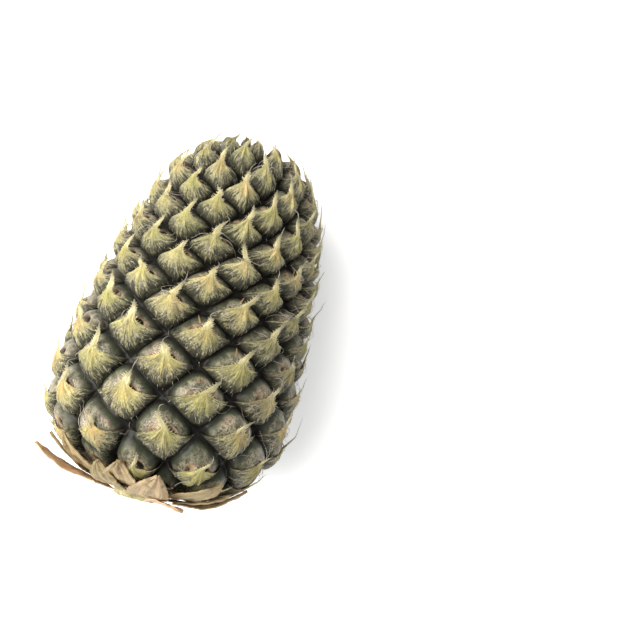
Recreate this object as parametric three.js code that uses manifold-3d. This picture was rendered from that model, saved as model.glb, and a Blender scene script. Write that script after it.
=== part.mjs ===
// A whole pineapple without its crown, lying on its side as it would on a table.
// The fruit is one grown body: a tapering barrel covered by eyes that stand on a golden-angle spiral,
// each eye with its scale, the bract, drawn out into a spine. The cut stem and the dry basal leaves are
// pieces of their own.
// Units are millimetres, +Z is up and +Y runs from the cut stem towards the crown scar. The origin is on the
// table, under the middle of the part.

import * as THREE from "three";
import Module from "manifold-3d";

const DEG = Math.PI / 180;
const TURN = 2 * Math.PI;

// ---------------------------------------------------------------- driving dimensions

const barrel = {
  length: 150, // along the axis, base to crown scar
  girth: 56.8, // radius of the base shoulder before any taper
  taper: 0.39, // share of that radius lost by the crown end
  baseSquareness: 9.5, // higher makes a squarer shoulder
  crownSquareness: 9,
  rind: 6.6, // furrow floor below the outer outline
};

const spiral = {
  turn: 137.508 * DEG, // from each eye to the next
  phase: -0.017,
  wander: [-0.026, 0.247, -0.119], // slow drift of the angle, a cubic in n / 60
  rise: [50.2, 62.3, -19.4, 6.05], // place along the axis of eye n, a cubic in n / 60
  firstEye: -33,
  lastEye: 121,
  baseSeam: -28, // outside these two the eyes keep one spacing along the surface
  crownSeam: 112,
  crownCrowding: 0.8, // of the spacing there, once past it
};

// The two families of furrows: 8 eyes on is one step up to the left, 13 eyes on is one step up to the right.
const leftStep = { eyes: 8, angle: 3 * TURN - 8 * spiral.turn };
const rightStep = { eyes: 13, angle: 5 * TURN - 13 * spiral.turn };

// One eye, as loops from its foot to the root of its spine. Each point is [across, up, height]: across runs
// from -1 to 1 between the side corners of the eye, up from -1 to 1 between its lower and upper corner, and
// height is above the furrow floor.
const eyeLoops = {
  shoulder: [
    [0.88, -0.02, 2.4],
    [0.45, 0.44, 3.2],
    [0, 0.84, 2.5],
    [-0.45, 0.44, 3.2],
    [-0.88, -0.02, 2.4],
    [-0.45, -0.46, 3.5],
    [0, -0.87, 3.1],
    [0.45, -0.46, 3.5],
  ],
  crest: [
    [0.5, 0, 4.6],
    [0.26, 0.4, 4.4],
    [-0.26, 0.4, 4.4],
    [-0.5, 0, 4.6],
    [-0.18, -0.45, 4.9],
    [0.18, -0.45, 4.9],
  ],
  spineRoot: [
    [0.32, 0.1, 5],
    [0.03, 0.24, 4.8],
    [-0.26, 0.1, 5],
    [0.02, -0.14, 6.1],
  ],
};
const eyeSwell = 0.07; // how much higher or lower than that an eye may be

const spine = {
  rootHeight: 6.1, // the foot of its lift: the lowest point of its root
  neck: { across: 0.05, up: 0.47, height: 7 },
  tip: { across: 0.2, up: 1.02, height: 8.9 },
  neckShare: 0.25, // of the tip's own lean and length that the neck has
  neckHalfWidth: 1.5,
  neckFront: 0.6, // thickness in front of the neck's middle and behind it, in half widths
  neckBack: 0.3,
  leanSpread: 0.3, // how far across the tips of different eyes lean, either way
  lengthSpread: 0.22,
  heightSpread: 1.3,
  coveredEyes: 7, // the lowest ones, whose spines lie under the basal leaves
  coveredLift: 0.2, // share of their lift that those spines keep
  clearance: 0.5, // above the table, where the fruit's weight bends them flat
  flatterBy: 0.1, // share of the lift that each try at bending takes away
  flattest: -0.5,
};

const stem = {
  radius: 12,
  sides: 24,
  flutes: 5,
  fluteDepth: 0.45,
  slant: 0.07, // of the cut face
  dish: 0.4, // depth of the cut face's middle
  // Down the stem from inside the fruit to the cut face: place along the axis and share of the radius.
  stations: [
    [6.7, 1],
    [0, 1],
    [-2.7, 0.98],
    [-3.9, 0.97],
    [-4.5, 0.92],
  ],
};
// The plain round hole in the fruit's underside that the stem stands in.
const socket = { radius: 12.6, floor: 7, lipRadius: 14, lip: 3.6, lipDepth: 0.6 };

// The round scar at the crown end: rim, floor and the raised core are places along the axis.
const crownScar = { rimRadius: 10.4, rim: 142, floorRadius: 9, floor: 140.6, core: 141.2 };

const basalLeaf = {
  count: 21,
  inLayer: 8, // leaves side by side before the next layer begins over them
  firstEye: -34, // they carry the spiral on below the last eye
  rootArc: 13.3, // from the pole of the base, along the outline
  innerHeight: 0.8, // of the blade's middle above the outline
  layerStep: 1.4,
  thickness: 0.8,
  halfAngle: 15 * DEG, // half the blade's reach round the fruit
  angleSpread: 2 * DEG, // narrower or wider than that from leaf to leaf
  length: 30,
  lengthSpread: 5,
  stations: 10, // along the blade, and across it in half widths
  across: [-1, -0.35, 0.35, 1],
  taperFrom: 0.5, // share of the length where the blade starts to narrow
  tooth: 0.07, // share of the width by which the cut edge steps in and out
  tipHalfWidth: 0.5,
  edgeLift: 0.3, // the edges stand this much further out than the midrib
};
// Leaves that bend away from the fruit, by number. bend is how steeply the tip leaves the fruit's outline
// and twist is how far the blade has turned about its own length there, both in radians.
const looseLeaves = {
  17: { bend: 0.45, twist: 0.4, length: 20 },
  19: { bend: 0.42, twist: 0.35, length: 32 },
};

const rest = {
  tilt: -7.5 * DEG, // about X: the narrower crown end drops
  flatSpotDepth: 1.2, // how far the lowest eyes are pressed flat
  centre: [0.29, 72.08], // the middle of the whole part seen from above, which becomes the origin
};

const finishes = {
  rind: { color: 0x6b6f3f, roughness: 0.7, metalness: 0 },
  stem: { color: 0xd9cf9c, roughness: 0.8, metalness: 0 },
  dryLeaf: { color: 0xb08a5c, roughness: 0.85, metalness: 0 },
};

// ---------------------------------------------------------------- small helpers

const smooth = (t) => t * t * (3 - 2 * t);
const clamp = (v, low, high) => Math.min(high, Math.max(low, v));
const mix = (a, b, t) => a + (b - a) * t;
const cubic = ([a, b, c, d], m) => a + m * (b + m * (c + m * d));

// A seeded draw between 0 and 1 for eye or leaf n.
function chance(n, kind) {
  const v = Math.sin(n * 12.9898 + kind * 78.233) * 43758.5453;
  return v - Math.floor(v);
}
const spread = (n, kind) => 2 * chance(n, kind) - 1;

// ---------------------------------------------------------------- the barrel's outline

function outlineRadius(t) {
  const base = Math.sqrt(1 - (1 - t) ** barrel.baseSquareness);
  const crown = Math.sqrt(1 - t ** barrel.crownSquareness);
  return barrel.girth * (1 - barrel.taper * t) * base * crown;
}

// The outline as points evenly crowded towards both poles, each with its distance along the curve.
const outlineSteps = 400;
const normalReach = 1.5; // along the curve either way, between the points that give the normal
const outline = [];
for (let i = 0; i <= outlineSteps; i++) {
  const t = (1 - Math.cos((Math.PI * i) / outlineSteps)) / 2;
  const along = barrel.length * t;
  const radius = outlineRadius(t);
  const last = outline[i - 1];
  const arc = last ? last.arc + Math.hypot(along - last.along, radius - last.radius) : 0;
  outline.push({ along, radius, arc });
}

// The two outline points around a value of one of their keys, and how far between them it lies.
function lookUp(key, value) {
  let low = 0;
  let high = outline.length - 2;
  while (low < high) {
    const middle = (low + high + 1) >> 1;
    if (outline[middle][key] <= value) low = middle;
    else high = middle - 1;
  }
  const a = outline[low];
  const b = outline[low + 1];
  return { a, b, t: (value - a[key]) / (b[key] - a[key]) };
}

function arcAtAlong(along) {
  const { a, b, t } = lookUp("along", along);
  return mix(a.arc, b.arc, t);
}

function outlinePoint(arc) {
  const { a, b, t } = lookUp("arc", clamp(arc, 0, outline.at(-1).arc));
  return { along: mix(a.along, b.along, t), radius: mix(a.radius, b.radius, t) };
}

// The outline's point at a distance along the curve, with its outward normal.
function atArc(arc) {
  const before = outlinePoint(arc - normalReach);
  const after = outlinePoint(arc + normalReach);
  const dAlong = after.along - before.along;
  const dRadius = after.radius - before.radius;
  const size = Math.hypot(dAlong, dRadius);
  return { ...outlinePoint(arc), normalAlong: -dRadius / size, normalRadius: dAlong / size };
}

// A point of the fruit: distance along the outline, angle round the axis, height over the outline.
function onFruit(arc, angle, height) {
  const o = atArc(arc);
  const radius = o.radius + height * o.normalRadius;
  return new THREE.Vector3(
    radius * Math.sin(angle),
    o.along + height * o.normalAlong,
    radius * Math.cos(angle),
  );
}

// ---------------------------------------------------------------- the spiral of eyes

const rise = (n) => cubic(spiral.rise, n / 60);
const riseSlope = (n) => arcAtAlong(rise(n + 0.5)) - arcAtAlong(rise(n - 0.5));
const seamAt = (n, crowding) => ({ n, arc: arcAtAlong(rise(n)), slope: riseSlope(n) * crowding });
const baseSeam = seamAt(spiral.baseSeam, 1);
const crownSeam = seamAt(spiral.crownSeam, spiral.crownCrowding);

function eyeArc(n) {
  if (n >= baseSeam.n && n <= crownSeam.n) return arcAtAlong(rise(n));
  const seam = n < baseSeam.n ? baseSeam : crownSeam;
  return seam.arc + (n - seam.n) * seam.slope;
}

// left and right count steps along the two furrow families, and an eye stands where both are whole.
function latticePoint(left, right, height) {
  const n = leftStep.eyes * left + rightStep.eyes * right;
  const angle =
    cubic([spiral.phase, ...spiral.wander], n / 60) + leftStep.angle * left + rightStep.angle * right;
  return onFruit(eyeArc(n), angle, height - barrel.rind);
}

// The steps that lead to eye n: 5n to the left and -3n to the right is n eyes on.
const eyeSteps = (n) => ({ left: 5 * n, right: -3 * n });

function eyePoint(n, across, up, height) {
  const { left, right } = eyeSteps(n);
  return latticePoint(left + (up - across) / 2, right + (up + across) / 2, height);
}

// ---------------------------------------------------------------- mesh building

class Shell {
  constructor() {
    this.points = [];
    this.triangles = [];
  }
  point(p) {
    return this.points.push(p) - 1;
  }
  loop(list) {
    return list.map((p) => this.point(p));
  }
  // The band between two loops that run the same way, inner one on the left of the outer one's direction.
  stitch(outer, inner) {
    let i = 0;
    let j = 0;
    while (i < outer.length || j < inner.length) {
      const o = outer[i % outer.length];
      const k = inner[j % inner.length];
      if ((i + 1) / outer.length <= (j + 1) / inner.length) {
        i += 1;
        this.triangles.push(o, outer[i % outer.length], k);
      } else {
        j += 1;
        this.triangles.push(o, inner[j % inner.length], k);
      }
    }
  }
  fan(loop, centre) {
    loop.forEach((a, i) => this.triangles.push(a, loop[(i + 1) % loop.length], centre));
  }
  geometry() {
    const made = new THREE.BufferGeometry();
    const flat = this.points.flatMap((p) => [p.x, p.y, p.z]);
    made.setAttribute("position", new THREE.Float32BufferAttribute(flat, 3));
    made.setIndex(this.triangles);
    made.computeVertexNormals();
    return made;
  }
}

// ---------------------------------------------------------------- the way the fruit lies

const lie = new THREE.Matrix4().makeRotationX(rest.tilt);
const lowestEye = { z: Infinity };
for (let n = spiral.firstEye; n <= spiral.lastEye; n++) {
  for (const [across, up, height] of [...eyeLoops.crest, ...eyeLoops.spineRoot]) {
    lowestEye.z = Math.min(lowestEye.z, eyePoint(n, across, up, height).applyMatrix4(lie).z);
  }
}
const liftToTable = -lowestEye.z - rest.flatSpotDepth;
const heightOverTable = (p) => p.clone().applyMatrix4(lie).z + liftToTable;

// ---------------------------------------------------------------- the fruit

// The middle of a spine's neck and its tip, when the spine keeps a share, lift, of its height.
function spineLine(n, lift) {
  const lean = spine.leanSpread * spread(n, 1);
  const longer = 1 + spine.lengthSpread * spread(n, 2);
  const taller = spine.heightSpread * spread(n, 3);
  const place = (at, share, over) =>
    eyePoint(
      n,
      at.across + lean * share,
      at.up * mix(1, longer, share),
      mix(spine.rootHeight, at.height + taller * share, lift) + over,
    );
  return {
    neck: place(spine.neck, spine.neckShare, 0),
    overNeck: place(spine.neck, spine.neckShare, 1),
    tip: place(spine.tip, 1, 0),
  };
}

// A spine keeps less of its height under the basal leaves, and where it would pass through the table.
function makeSpine(n) {
  const bare = smooth(clamp((n - spiral.firstEye) / spine.coveredEyes, 0, 1));
  const lowest = ({ neck, tip }) =>
    Math.min(heightOverTable(neck) - spine.neckHalfWidth, heightOverTable(tip));
  let lift = mix(spine.coveredLift, 1, bare);
  while (lowest(spineLine(n, lift)) <= spine.clearance && lift >= spine.flattest) lift -= spine.flatterBy;

  const { neck, overNeck, tip } = spineLine(n, lift);
  const outward = overNeck.sub(neck).normalize();
  const along = tip.clone().sub(neck).normalize();
  const side = along.clone().cross(outward).normalize().multiplyScalar(spine.neckHalfWidth);
  const front = side.clone().cross(along);
  const loop = [
    neck.clone().add(side),
    neck.clone().addScaledVector(front, -spine.neckBack),
    neck.clone().sub(side),
    neck.clone().addScaledVector(front, spine.neckFront),
  ];
  return { loop, tip };
}

function makeFruit() {
  const shell = new Shell();
  const corners = new Map();

  // Furrow points are shared by neighbours. Thirteen steps left and eight back to the right go once round.
  function furrowPoint(left, right) {
    const turns = Math.floor(left / rightStep.eyes);
    const key = `${left - rightStep.eyes * turns},${right + leftStep.eyes * turns}`;
    if (!corners.has(key)) corners.set(key, shell.point(latticePoint(left, right, 0)));
    return corners.get(key);
  }

  // Halfway to the neighbours, in the order that goes round an eye.
  const rimSteps = [[-1, 1], [0, 1], [1, 1], [1, 0], [1, -1], [0, -1], [-1, -1], [-1, 0]];
  const edges = new Map();
  for (let n = spiral.firstEye; n <= spiral.lastEye; n++) {
    const { left, right } = eyeSteps(n);
    const rim = rimSteps.map(([l, r]) => furrowPoint(left + l / 2, right + r / 2));
    rim.forEach((a, i) => {
      const b = rim[(i + 1) % rim.length];
      edges.set(`${a},${b}`, [a, b]);
    });
    const swell = 1 + eyeSwell * spread(n, 4);
    const loops = Object.values(eyeLoops).map((loop) =>
      shell.loop(loop.map(([across, up, height]) => eyePoint(n, across, up, height * swell))),
    );
    const { loop, tip } = makeSpine(n);
    loops.push(shell.loop(loop));
    shell.stitch(rim, loops[0]);
    for (let i = 1; i < loops.length; i++) shell.stitch(loops[i - 1], loops[i]);
    shell.fan(loops.at(-1), shell.point(tip));
  }

  // The furrow edges that only one eye uses form the two open ends of the spiral.
  const next = new Map();
  for (const [a, b] of edges.values()) {
    if (!edges.has(`${b},${a}`)) next.set(b, a);
  }
  const ends = [];
  while (next.size) {
    const loop = [next.keys().next().value];
    while (next.has(loop.at(-1))) {
      const last = loop.at(-1);
      loop.push(next.get(last));
      next.delete(last);
    }
    loop.pop();
    ends.push(loop);
  }
  const meanY = (loop) => loop.reduce((sum, i) => sum + shell.points[i].y, 0) / loop.length;
  const [baseEnd, crownEnd] = ends.sort((a, b) => meanY(a) - meanY(b));

  // A ring inside an open end, with a point at each of its angles.
  function ringInside(loop, radius, y) {
    return shell.loop(
      loop.map((i) => {
        const { x, z } = shell.points[i];
        const scale = radius / Math.hypot(x, z);
        return new THREE.Vector3(x * scale, y, z * scale);
      }),
    );
  }
  function closeEnd(loop, rings, centreY) {
    let outer = loop;
    for (const [radius, y] of rings) {
      const inner = ringInside(loop, radius, y);
      shell.stitch(outer, inner);
      outer = inner;
    }
    shell.fan(outer, shell.point(new THREE.Vector3(0, centreY, 0)));
  }
  closeEnd(
    baseEnd,
    [
      [socket.lipRadius, socket.lip],
      [socket.radius, socket.lip + socket.lipDepth],
      [socket.radius, socket.floor],
    ],
    socket.floor,
  );
  closeEnd(
    crownEnd,
    [[crownScar.rimRadius, crownScar.rim], [crownScar.floorRadius, crownScar.floor]],
    crownScar.core,
  );
  return shell.geometry();
}

// ---------------------------------------------------------------- the cut stem

function makeStem() {
  const shell = new Shell();
  const rings = stem.stations.map(([along, scale], station) => {
    const ring = [];
    for (let i = 0; i < stem.sides; i++) {
      const angle = (-TURN * i) / stem.sides;
      const flute = stem.fluteDepth * (1 + Math.cos(stem.flutes * angle));
      const radius = (stem.radius - flute) * scale;
      const x = radius * Math.sin(angle);
      const slant = station > 1 ? stem.slant * x : 0;
      ring.push(new THREE.Vector3(x, along + slant, radius * Math.cos(angle)));
    }
    return shell.loop(ring);
  });
  const [floor] = stem.stations[0];
  const [cutFace] = stem.stations.at(-1);
  shell.fan(rings[0].toReversed(), shell.point(new THREE.Vector3(0, floor, 0)));
  for (let i = 1; i < rings.length; i++) shell.stitch(rings[i - 1], rings[i]);
  shell.fan(rings.at(-1), shell.point(new THREE.Vector3(0, cutFace + stem.dish, 0)));
  return shell.geometry();
}

// ---------------------------------------------------------------- the basal leaves

// A thin solid blade about a grid of middle points, both faces split into triangles alike.
function blade(middle, thickness) {
  const shell = new Shell();
  const rows = middle.length;
  const columns = middle[0].length;
  const normal = (i, j) => {
    const alongRow = middle[i][Math.min(j + 1, columns - 1)].clone().sub(middle[i][Math.max(j - 1, 0)]);
    const alongBlade = middle[Math.min(i + 1, rows - 1)][j].clone().sub(middle[Math.max(i - 1, 0)][j]);
    return alongRow.cross(alongBlade).normalize();
  };
  const face = (side) =>
    middle.map((row, i) =>
      shell.loop(row.map((p, j) => p.clone().addScaledVector(normal(i, j), (side * thickness) / 2))),
    );
  const top = face(1);
  const under = face(-1);
  const quad = (a, b, c, d) => shell.triangles.push(a, b, c, a, c, d);
  for (let i = 0; i + 1 < rows; i++) {
    for (let j = 0; j + 1 < columns; j++) {
      quad(top[i][j], top[i][j + 1], top[i + 1][j + 1], top[i + 1][j]);
      shell.triangles.push(under[i][j], under[i + 1][j + 1], under[i][j + 1]);
      shell.triangles.push(under[i][j], under[i + 1][j], under[i + 1][j + 1]);
    }
    quad(under[i][0], top[i][0], top[i + 1][0], under[i + 1][0]);
    const j = columns - 1;
    quad(top[i][j], under[i][j], under[i + 1][j], top[i + 1][j]);
  }
  for (let j = 0; j + 1 < columns; j++) {
    quad(under[0][j], under[0][j + 1], top[0][j + 1], top[0][j]);
    const i = rows - 1;
    quad(top[i][j], top[i][j + 1], under[i][j + 1], under[i][j]);
  }
  return shell.geometry();
}

// Leaf k, counted from 1, clasps the base from its root beside the stem, and a loose one bends away from it.
function makeLeaf(k) {
  const { stations, across, tooth, tipHalfWidth, edgeLift, taperFrom, thickness } = basalLeaf;
  const n = basalLeaf.firstEye + 1 - k;
  const layer = Math.floor((k - 1) / basalLeaf.inLayer);
  const { bend, twist, length } = looseLeaves[k] ?? {
    bend: 0,
    twist: 0,
    length: basalLeaf.length + basalLeaf.lengthSpread * spread(n, 5),
  };
  const halfAngle = basalLeaf.halfAngle + basalLeaf.angleSpread * spread(n, 6);
  const angle = spiral.phase - spiral.turn * n;
  const step = length / (stations - 1);
  let arc = basalLeaf.rootArc;
  let height = basalLeaf.innerHeight + layer * basalLeaf.layerStep;
  const middle = [];
  for (let i = 0; i < stations; i++) {
    const t = i / (stations - 1);
    const radius = onFruit(arc, 0, height).z;
    const teeth = 1 + tooth * (i % 2 ? 1 : -1);
    const narrowing = 1 - smooth(clamp((t - taperFrom) / (1 - taperFrom), 0, 1));
    const half = mix(tipHalfWidth, halfAngle * radius * teeth, narrowing);
    const turned = twist * t * t;
    middle.push(
      across.map((w) => {
        const aside = (w * half * Math.cos(turned)) / radius;
        const lift = edgeLift * w * w * narrowing + w * half * Math.sin(turned);
        return onFruit(arc, angle + aside, height + lift);
      }),
    );
    const slope = bend * t * t;
    arc += step * Math.cos(slope);
    height += step * Math.sin(slope);
  }
  return blade(middle, thickness);
}

// ---------------------------------------------------------------- placing and joining

const wasm = await Module();
wasm.setup();

function solidOf(geometry) {
  return new wasm.Manifold(
    new wasm.Mesh({
      numProp: 3,
      vertProperties: geometry.attributes.position.array,
      triVerts: new Uint32Array(geometry.index.array),
    }),
  );
}

function geometryOf(solid) {
  const mesh = solid.getMesh();
  const made = new THREE.BufferGeometry();
  made.setAttribute("position", new THREE.BufferAttribute(mesh.vertProperties, 3));
  made.setIndex(new THREE.BufferAttribute(mesh.triVerts, 1));
  made.computeVertexNormals();
  return made;
}

// What lies above the table, as one block larger than the part.
function spaceAboveTable() {
  const shell = new Shell();
  const reach = 2 * barrel.length;
  const square = [[-1, -1], [1, -1], [1, 1], [-1, 1]];
  const [low, high] = [0, reach].map((z) =>
    shell.loop(square.map(([x, y]) => new THREE.Vector3(x * reach, y * reach, z))),
  );
  shell.stitch(low, high);
  shell.triangles.push(low[0], low[2], low[1], low[0], low[3], low[2]);
  shell.triangles.push(high[0], high[1], high[2], high[0], high[2], high[3]);
  return solidOf(shell.geometry());
}

const pineapple = new THREE.Group();

function add(name, geometry, finish) {
  const mesh = new THREE.Mesh(geometry, new THREE.MeshStandardMaterial(finish));
  mesh.name = name;
  pineapple.add(mesh);
}

function laidDown(geometry) {
  return geometry
    .applyMatrix4(lie)
    .translate(-rest.centre[0], -rest.centre[1], liftToTable);
}

// The lowest eyes are pressed flat, and the tips of any spines parted by that are dropped.
const pressed = solidOf(laidDown(makeFruit())).intersect(spaceAboveTable()).decompose();
const largest = pressed.reduce((a, b) => (b.volume() > a.volume() ? b : a));
add("fruit", geometryOf(largest), finishes.rind);
add("cut_stem", laidDown(makeStem()), finishes.stem);
for (let k = 1; k <= basalLeaf.count; k++) {
  add("basal_leaf_" + String(k).padStart(2, "0"), laidDown(makeLeaf(k)), finishes.dryLeaf);
}

export default pineapple;
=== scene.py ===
# A pineapple without its crown, lying on its side: fine eyes, fibrous bracts, spines and dry basal leaves.
# Shapes are worked out in millimetres on the fruit's own spiral, then laid down in the frame, in metres.
import math

import bpy
import numpy as np
from mathutils import Matrix, Vector


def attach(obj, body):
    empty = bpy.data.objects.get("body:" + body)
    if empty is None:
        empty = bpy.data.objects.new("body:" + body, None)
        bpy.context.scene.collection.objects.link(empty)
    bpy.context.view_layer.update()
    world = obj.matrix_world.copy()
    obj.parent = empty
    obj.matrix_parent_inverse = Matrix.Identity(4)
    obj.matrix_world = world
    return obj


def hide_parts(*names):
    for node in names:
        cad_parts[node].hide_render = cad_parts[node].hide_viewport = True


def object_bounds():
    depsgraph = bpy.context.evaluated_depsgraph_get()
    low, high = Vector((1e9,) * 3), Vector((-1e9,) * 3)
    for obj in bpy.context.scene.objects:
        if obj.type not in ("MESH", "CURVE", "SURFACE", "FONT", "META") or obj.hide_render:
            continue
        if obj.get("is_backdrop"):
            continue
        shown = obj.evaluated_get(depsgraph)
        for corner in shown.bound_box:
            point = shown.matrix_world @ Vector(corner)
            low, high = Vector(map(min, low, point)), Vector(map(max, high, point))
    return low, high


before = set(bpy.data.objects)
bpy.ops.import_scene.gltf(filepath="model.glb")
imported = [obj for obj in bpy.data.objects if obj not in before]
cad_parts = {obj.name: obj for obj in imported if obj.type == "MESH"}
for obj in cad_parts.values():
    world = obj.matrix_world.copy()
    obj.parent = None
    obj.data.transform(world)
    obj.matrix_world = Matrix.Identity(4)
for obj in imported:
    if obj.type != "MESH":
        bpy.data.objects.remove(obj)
cadBox = [list(corner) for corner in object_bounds()]
print("frame:", len(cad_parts), "nodes")

turn = 2 * math.pi

# How the fruit lies: tilted about X so that its narrow end drops, then set down on the table.
lying = {"tilt": math.radians(-7.5), "centre": (0.29, 72.08), "lift": 53.41, "softDepth": 1.5}

barrel = {
    "length": 150, "girth": 56.8, "taper": 0.39, "stations": 401,
    "baseSquareness": 9.5, "crownSquareness": 9, "rind": 6.6, "normalStep": 1.5,
}
middle = [0, barrel["length"] / 2, 0]
spiral = {
    "step": math.radians(137.508), "phase": -0.017, "wander": (-0.026, 0.247, -0.119),
    "rise": (50.2, 62.3, -19.4, 6.05), "firstEye": -33, "lastEye": 121,
    "baseSeam": -28, "crownSeam": 112, "crownCrowding": 0.8,
    "barrenBelow": 15, "barrenAbove": 11, "stemArc": 15.5, "scarArc": 194.5, "crowding": 9,
}


def mix(a, b, share):
    return a + (b - a) * share


def smooth(t, low=0.0, high=1.0):  # 0 below low, 1 above high, an S between them
    t = np.clip((t - low) / (high - low), 0, 1)
    return t * t * (3 - 2 * t)


def cubic(terms, x):
    return terms[0] + x * (terms[1] + x * (terms[2] + x * terms[3]))


def chance(n, kind):  # a fixed draw between 0 and 1 for eye or leaf n: the fraction of a large sine
    value = np.sin(n * 12.9898 + kind * 78.233) * 43758.5453
    return value - np.floor(value)


def spread(n, kind):
    return 2 * chance(n, kind) - 1


def ripple(points, size, seed):  # a soft wobble about 0: the mean of sines in seeded directions
    draws, sines = np.random.default_rng(seed), 9
    ways = draws.normal(size=(3, sines)) * (turn / size / 1.7)
    return np.sin(points @ ways + draws.uniform(0, turn, sines)).mean(-1) * 2.2


# The outline of the barrel: a straight taper with a superelliptic shoulder at each end.
outlineShare = (1 - np.cos(np.linspace(0, math.pi, barrel["stations"]))) / 2
outlineAlong = barrel["length"] * outlineShare
outlineRadius = (
    barrel["girth"] * (1 - barrel["taper"] * outlineShare)
    * np.sqrt(1 - (1 - outlineShare) ** barrel["baseSquareness"])
    * np.sqrt(1 - outlineShare ** barrel["crownSquareness"])
)
outlineArc = np.append(0, np.cumsum(np.hypot(np.diff(outlineAlong), np.diff(outlineRadius))))


def outlinePoint(arc):
    return np.interp(arc, outlineArc, outlineAlong), np.interp(arc, outlineArc, outlineRadius)


def onFruit(arc, angle, height):  # the outline turned about Y by an angle, then out along its normal
    along, radius = outlinePoint(arc)
    step = barrel["normalStep"]
    (alongA, radiusA), (alongB, radiusB) = outlinePoint(arc - step), outlinePoint(arc + step)
    size = np.hypot(alongB - alongA, radiusB - radiusA)
    reach = radius + height * (alongB - alongA) / size
    lengthwise = along - height * (radiusB - radiusA) / size
    return np.stack(np.broadcast_arrays(reach * np.sin(angle), lengthwise, reach * np.cos(angle)), -1)


def arcAtEye(n):  # the cubic rise of the spiral, carried on straight past a seam at each end
    def inside(m):
        return np.interp(cubic(spiral["rise"], m / 60), outlineAlong, outlineArc)

    arc = inside(n)
    for seam, outside, crowding in (
        (spiral["baseSeam"], n < spiral["baseSeam"], 1),
        (spiral["crownSeam"], n > spiral["crownSeam"], spiral["crownCrowding"]),
    ):
        slope = (inside(seam + 0.5) - inside(seam - 0.5)) * crowding
        arc = np.where(outside, inside(seam) + (n - seam) * slope, arc)
    near = spiral["crowding"]  # the barren eyes close up before they reach the stem or the scar
    for end, way in ((spiral["stemArc"], 1), (spiral["scarArc"], -1)):
        room = (arc - end) * way
        arc = np.where(room < near, end + way * near * np.exp(np.minimum(room - near, 0) / near), arc)
    return arc


# Along the two families of furrows the eyes rise by 8 and 13, and 5 * 8 - 3 * 13 leads to the next eye.
leftStep, rightStep, leftShare, rightShare = 8, 13, 5, -3
leftAngle = -rightShare * turn - leftStep * spiral["step"]
rightAngle = leftShare * turn - rightStep * spiral["step"]


def onLattice(left, right, height):  # left and right count steps along the two families of furrows
    n = leftStep * left + rightStep * right
    angle = cubic((spiral["phase"], *spiral["wander"]), n / 60) + leftAngle * left + rightAngle * right
    return onFruit(arcAtEye(n), angle, height - barrel["rind"])


def onEye(n, across, up, height):  # the cell of eye n is |across| + |up| <= 1, and height is over the furrow
    return onLattice(leftShare * n + (up - across) / 2, rightShare * n + (up + across) / 2, height)


def laidDown(points):  # turned about X and set down, with what would pass the table bent flat just above it
    c, s = math.cos(lying["tilt"]), math.sin(lying["tilt"])
    x, y, z = np.moveaxis(points, -1, 0)
    soft = lying["softDepth"]
    high = y * s + z * c + lying["lift"]
    high = np.where(high < soft, soft * np.exp(np.minimum(high - soft, 0) / soft), high)
    return np.stack([x - lying["centre"][0], y * c - z * s - lying["centre"][1], high], -1) / 1000


def quads(index):  # the faces of grids of vertex numbers, whose last two axes are rows and columns
    a, b = index[..., :-1, :-1], index[..., :-1, 1:]
    c, d = index[..., 1:, 1:], index[..., 1:, :-1]
    return np.stack([a, b, c, d], -1).reshape(-1, 4)


def closedShells(s, w, count):  # thin closed blades, each an upper and an under grid of s by w and a rim
    size = len(s) * len(w)
    top = np.arange(size).reshape(len(s), len(w))
    rim = np.concatenate([top[0, :-1], top[:-1, -1], top[-1, :0:-1], top[:0:-1, 0]])
    ahead = np.roll(rim, -1)
    shell = np.concatenate(
        [quads(top), quads(top + size)[:, ::-1], np.stack([rim + size, ahead + size, ahead, rim], -1)]
    )
    uv = np.stack(np.broadcast_arrays(w / 2 + 0.5, s), -1)  # across the blade and along it
    faces = (shell + np.arange(count)[:, None, None] * 2 * size).reshape(-1, 4)
    return faces, np.broadcast_to(uv, (count, 2, *uv.shape))


def addObject(name, data):
    added = bpy.data.objects.new(name, data)
    bpy.context.scene.collection.objects.link(added)
    return added


def makePiece(
    name, points, faces, finish, replaced=(), uv=None, marks=None, crease=180, shared=None
):  # the mesh in world metres; shared gives the vertex of each corner number
    faces = faces if isinstance(faces, list) else [faces]
    world = laidDown(points.reshape(-1, 3))
    shared = np.arange(len(world)) if shared is None else shared
    tris = np.concatenate([shared[f[:, [0, i, i + 1]]] for f in faces for i in range(1, f.shape[1] - 1)])
    a, b, c = (world[tris[:, i]] for i in range(3))
    if np.einsum("ij,ij->", a, np.cross(b, c)) < 0:  # the volume is negative when the faces point inwards
        faces = [f[:, ::-1] for f in faces]
    corners = np.concatenate([f.ravel() for f in faces])
    sizes = np.concatenate([np.full(len(f), f.shape[1]) for f in faces])
    mesh = bpy.data.meshes.new(name)
    mesh.vertices.add(len(world))
    mesh.loops.add(len(corners))
    mesh.polygons.add(len(sizes))
    mesh.vertices.foreach_set("co", world.astype(np.float32).ravel())
    mesh.loops.foreach_set("vertex_index", shared[corners].astype(np.int32))
    mesh.polygons.foreach_set("loop_start", np.append(0, np.cumsum(sizes)[:-1]).astype(np.int32))
    mesh.update(calc_edges=True)
    if uv is not None:
        layer = mesh.uv_layers.new(name="grain")
        layer.data.foreach_set("uv", uv.reshape(-1, 2)[corners].astype(np.float32).ravel())
    for mark, values in (marks or {}).items():
        layer = mesh.attributes.new(mark, "FLOAT", "POINT")
        values = np.broadcast_to(values, points.shape[:-1])
        layer.data.foreach_set("value", values.astype(np.float32).ravel())
    mesh.polygons.foreach_set("use_smooth", np.ones(len(sizes), bool))
    mesh.set_sharp_from_angle(angle=math.radians(crease))
    mesh.materials.append(finish)
    piece = addObject(name, mesh)
    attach(piece, "root")
    if replaced:
        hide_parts(*replaced)
    print(name + ":", len(tris), "triangles")


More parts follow.
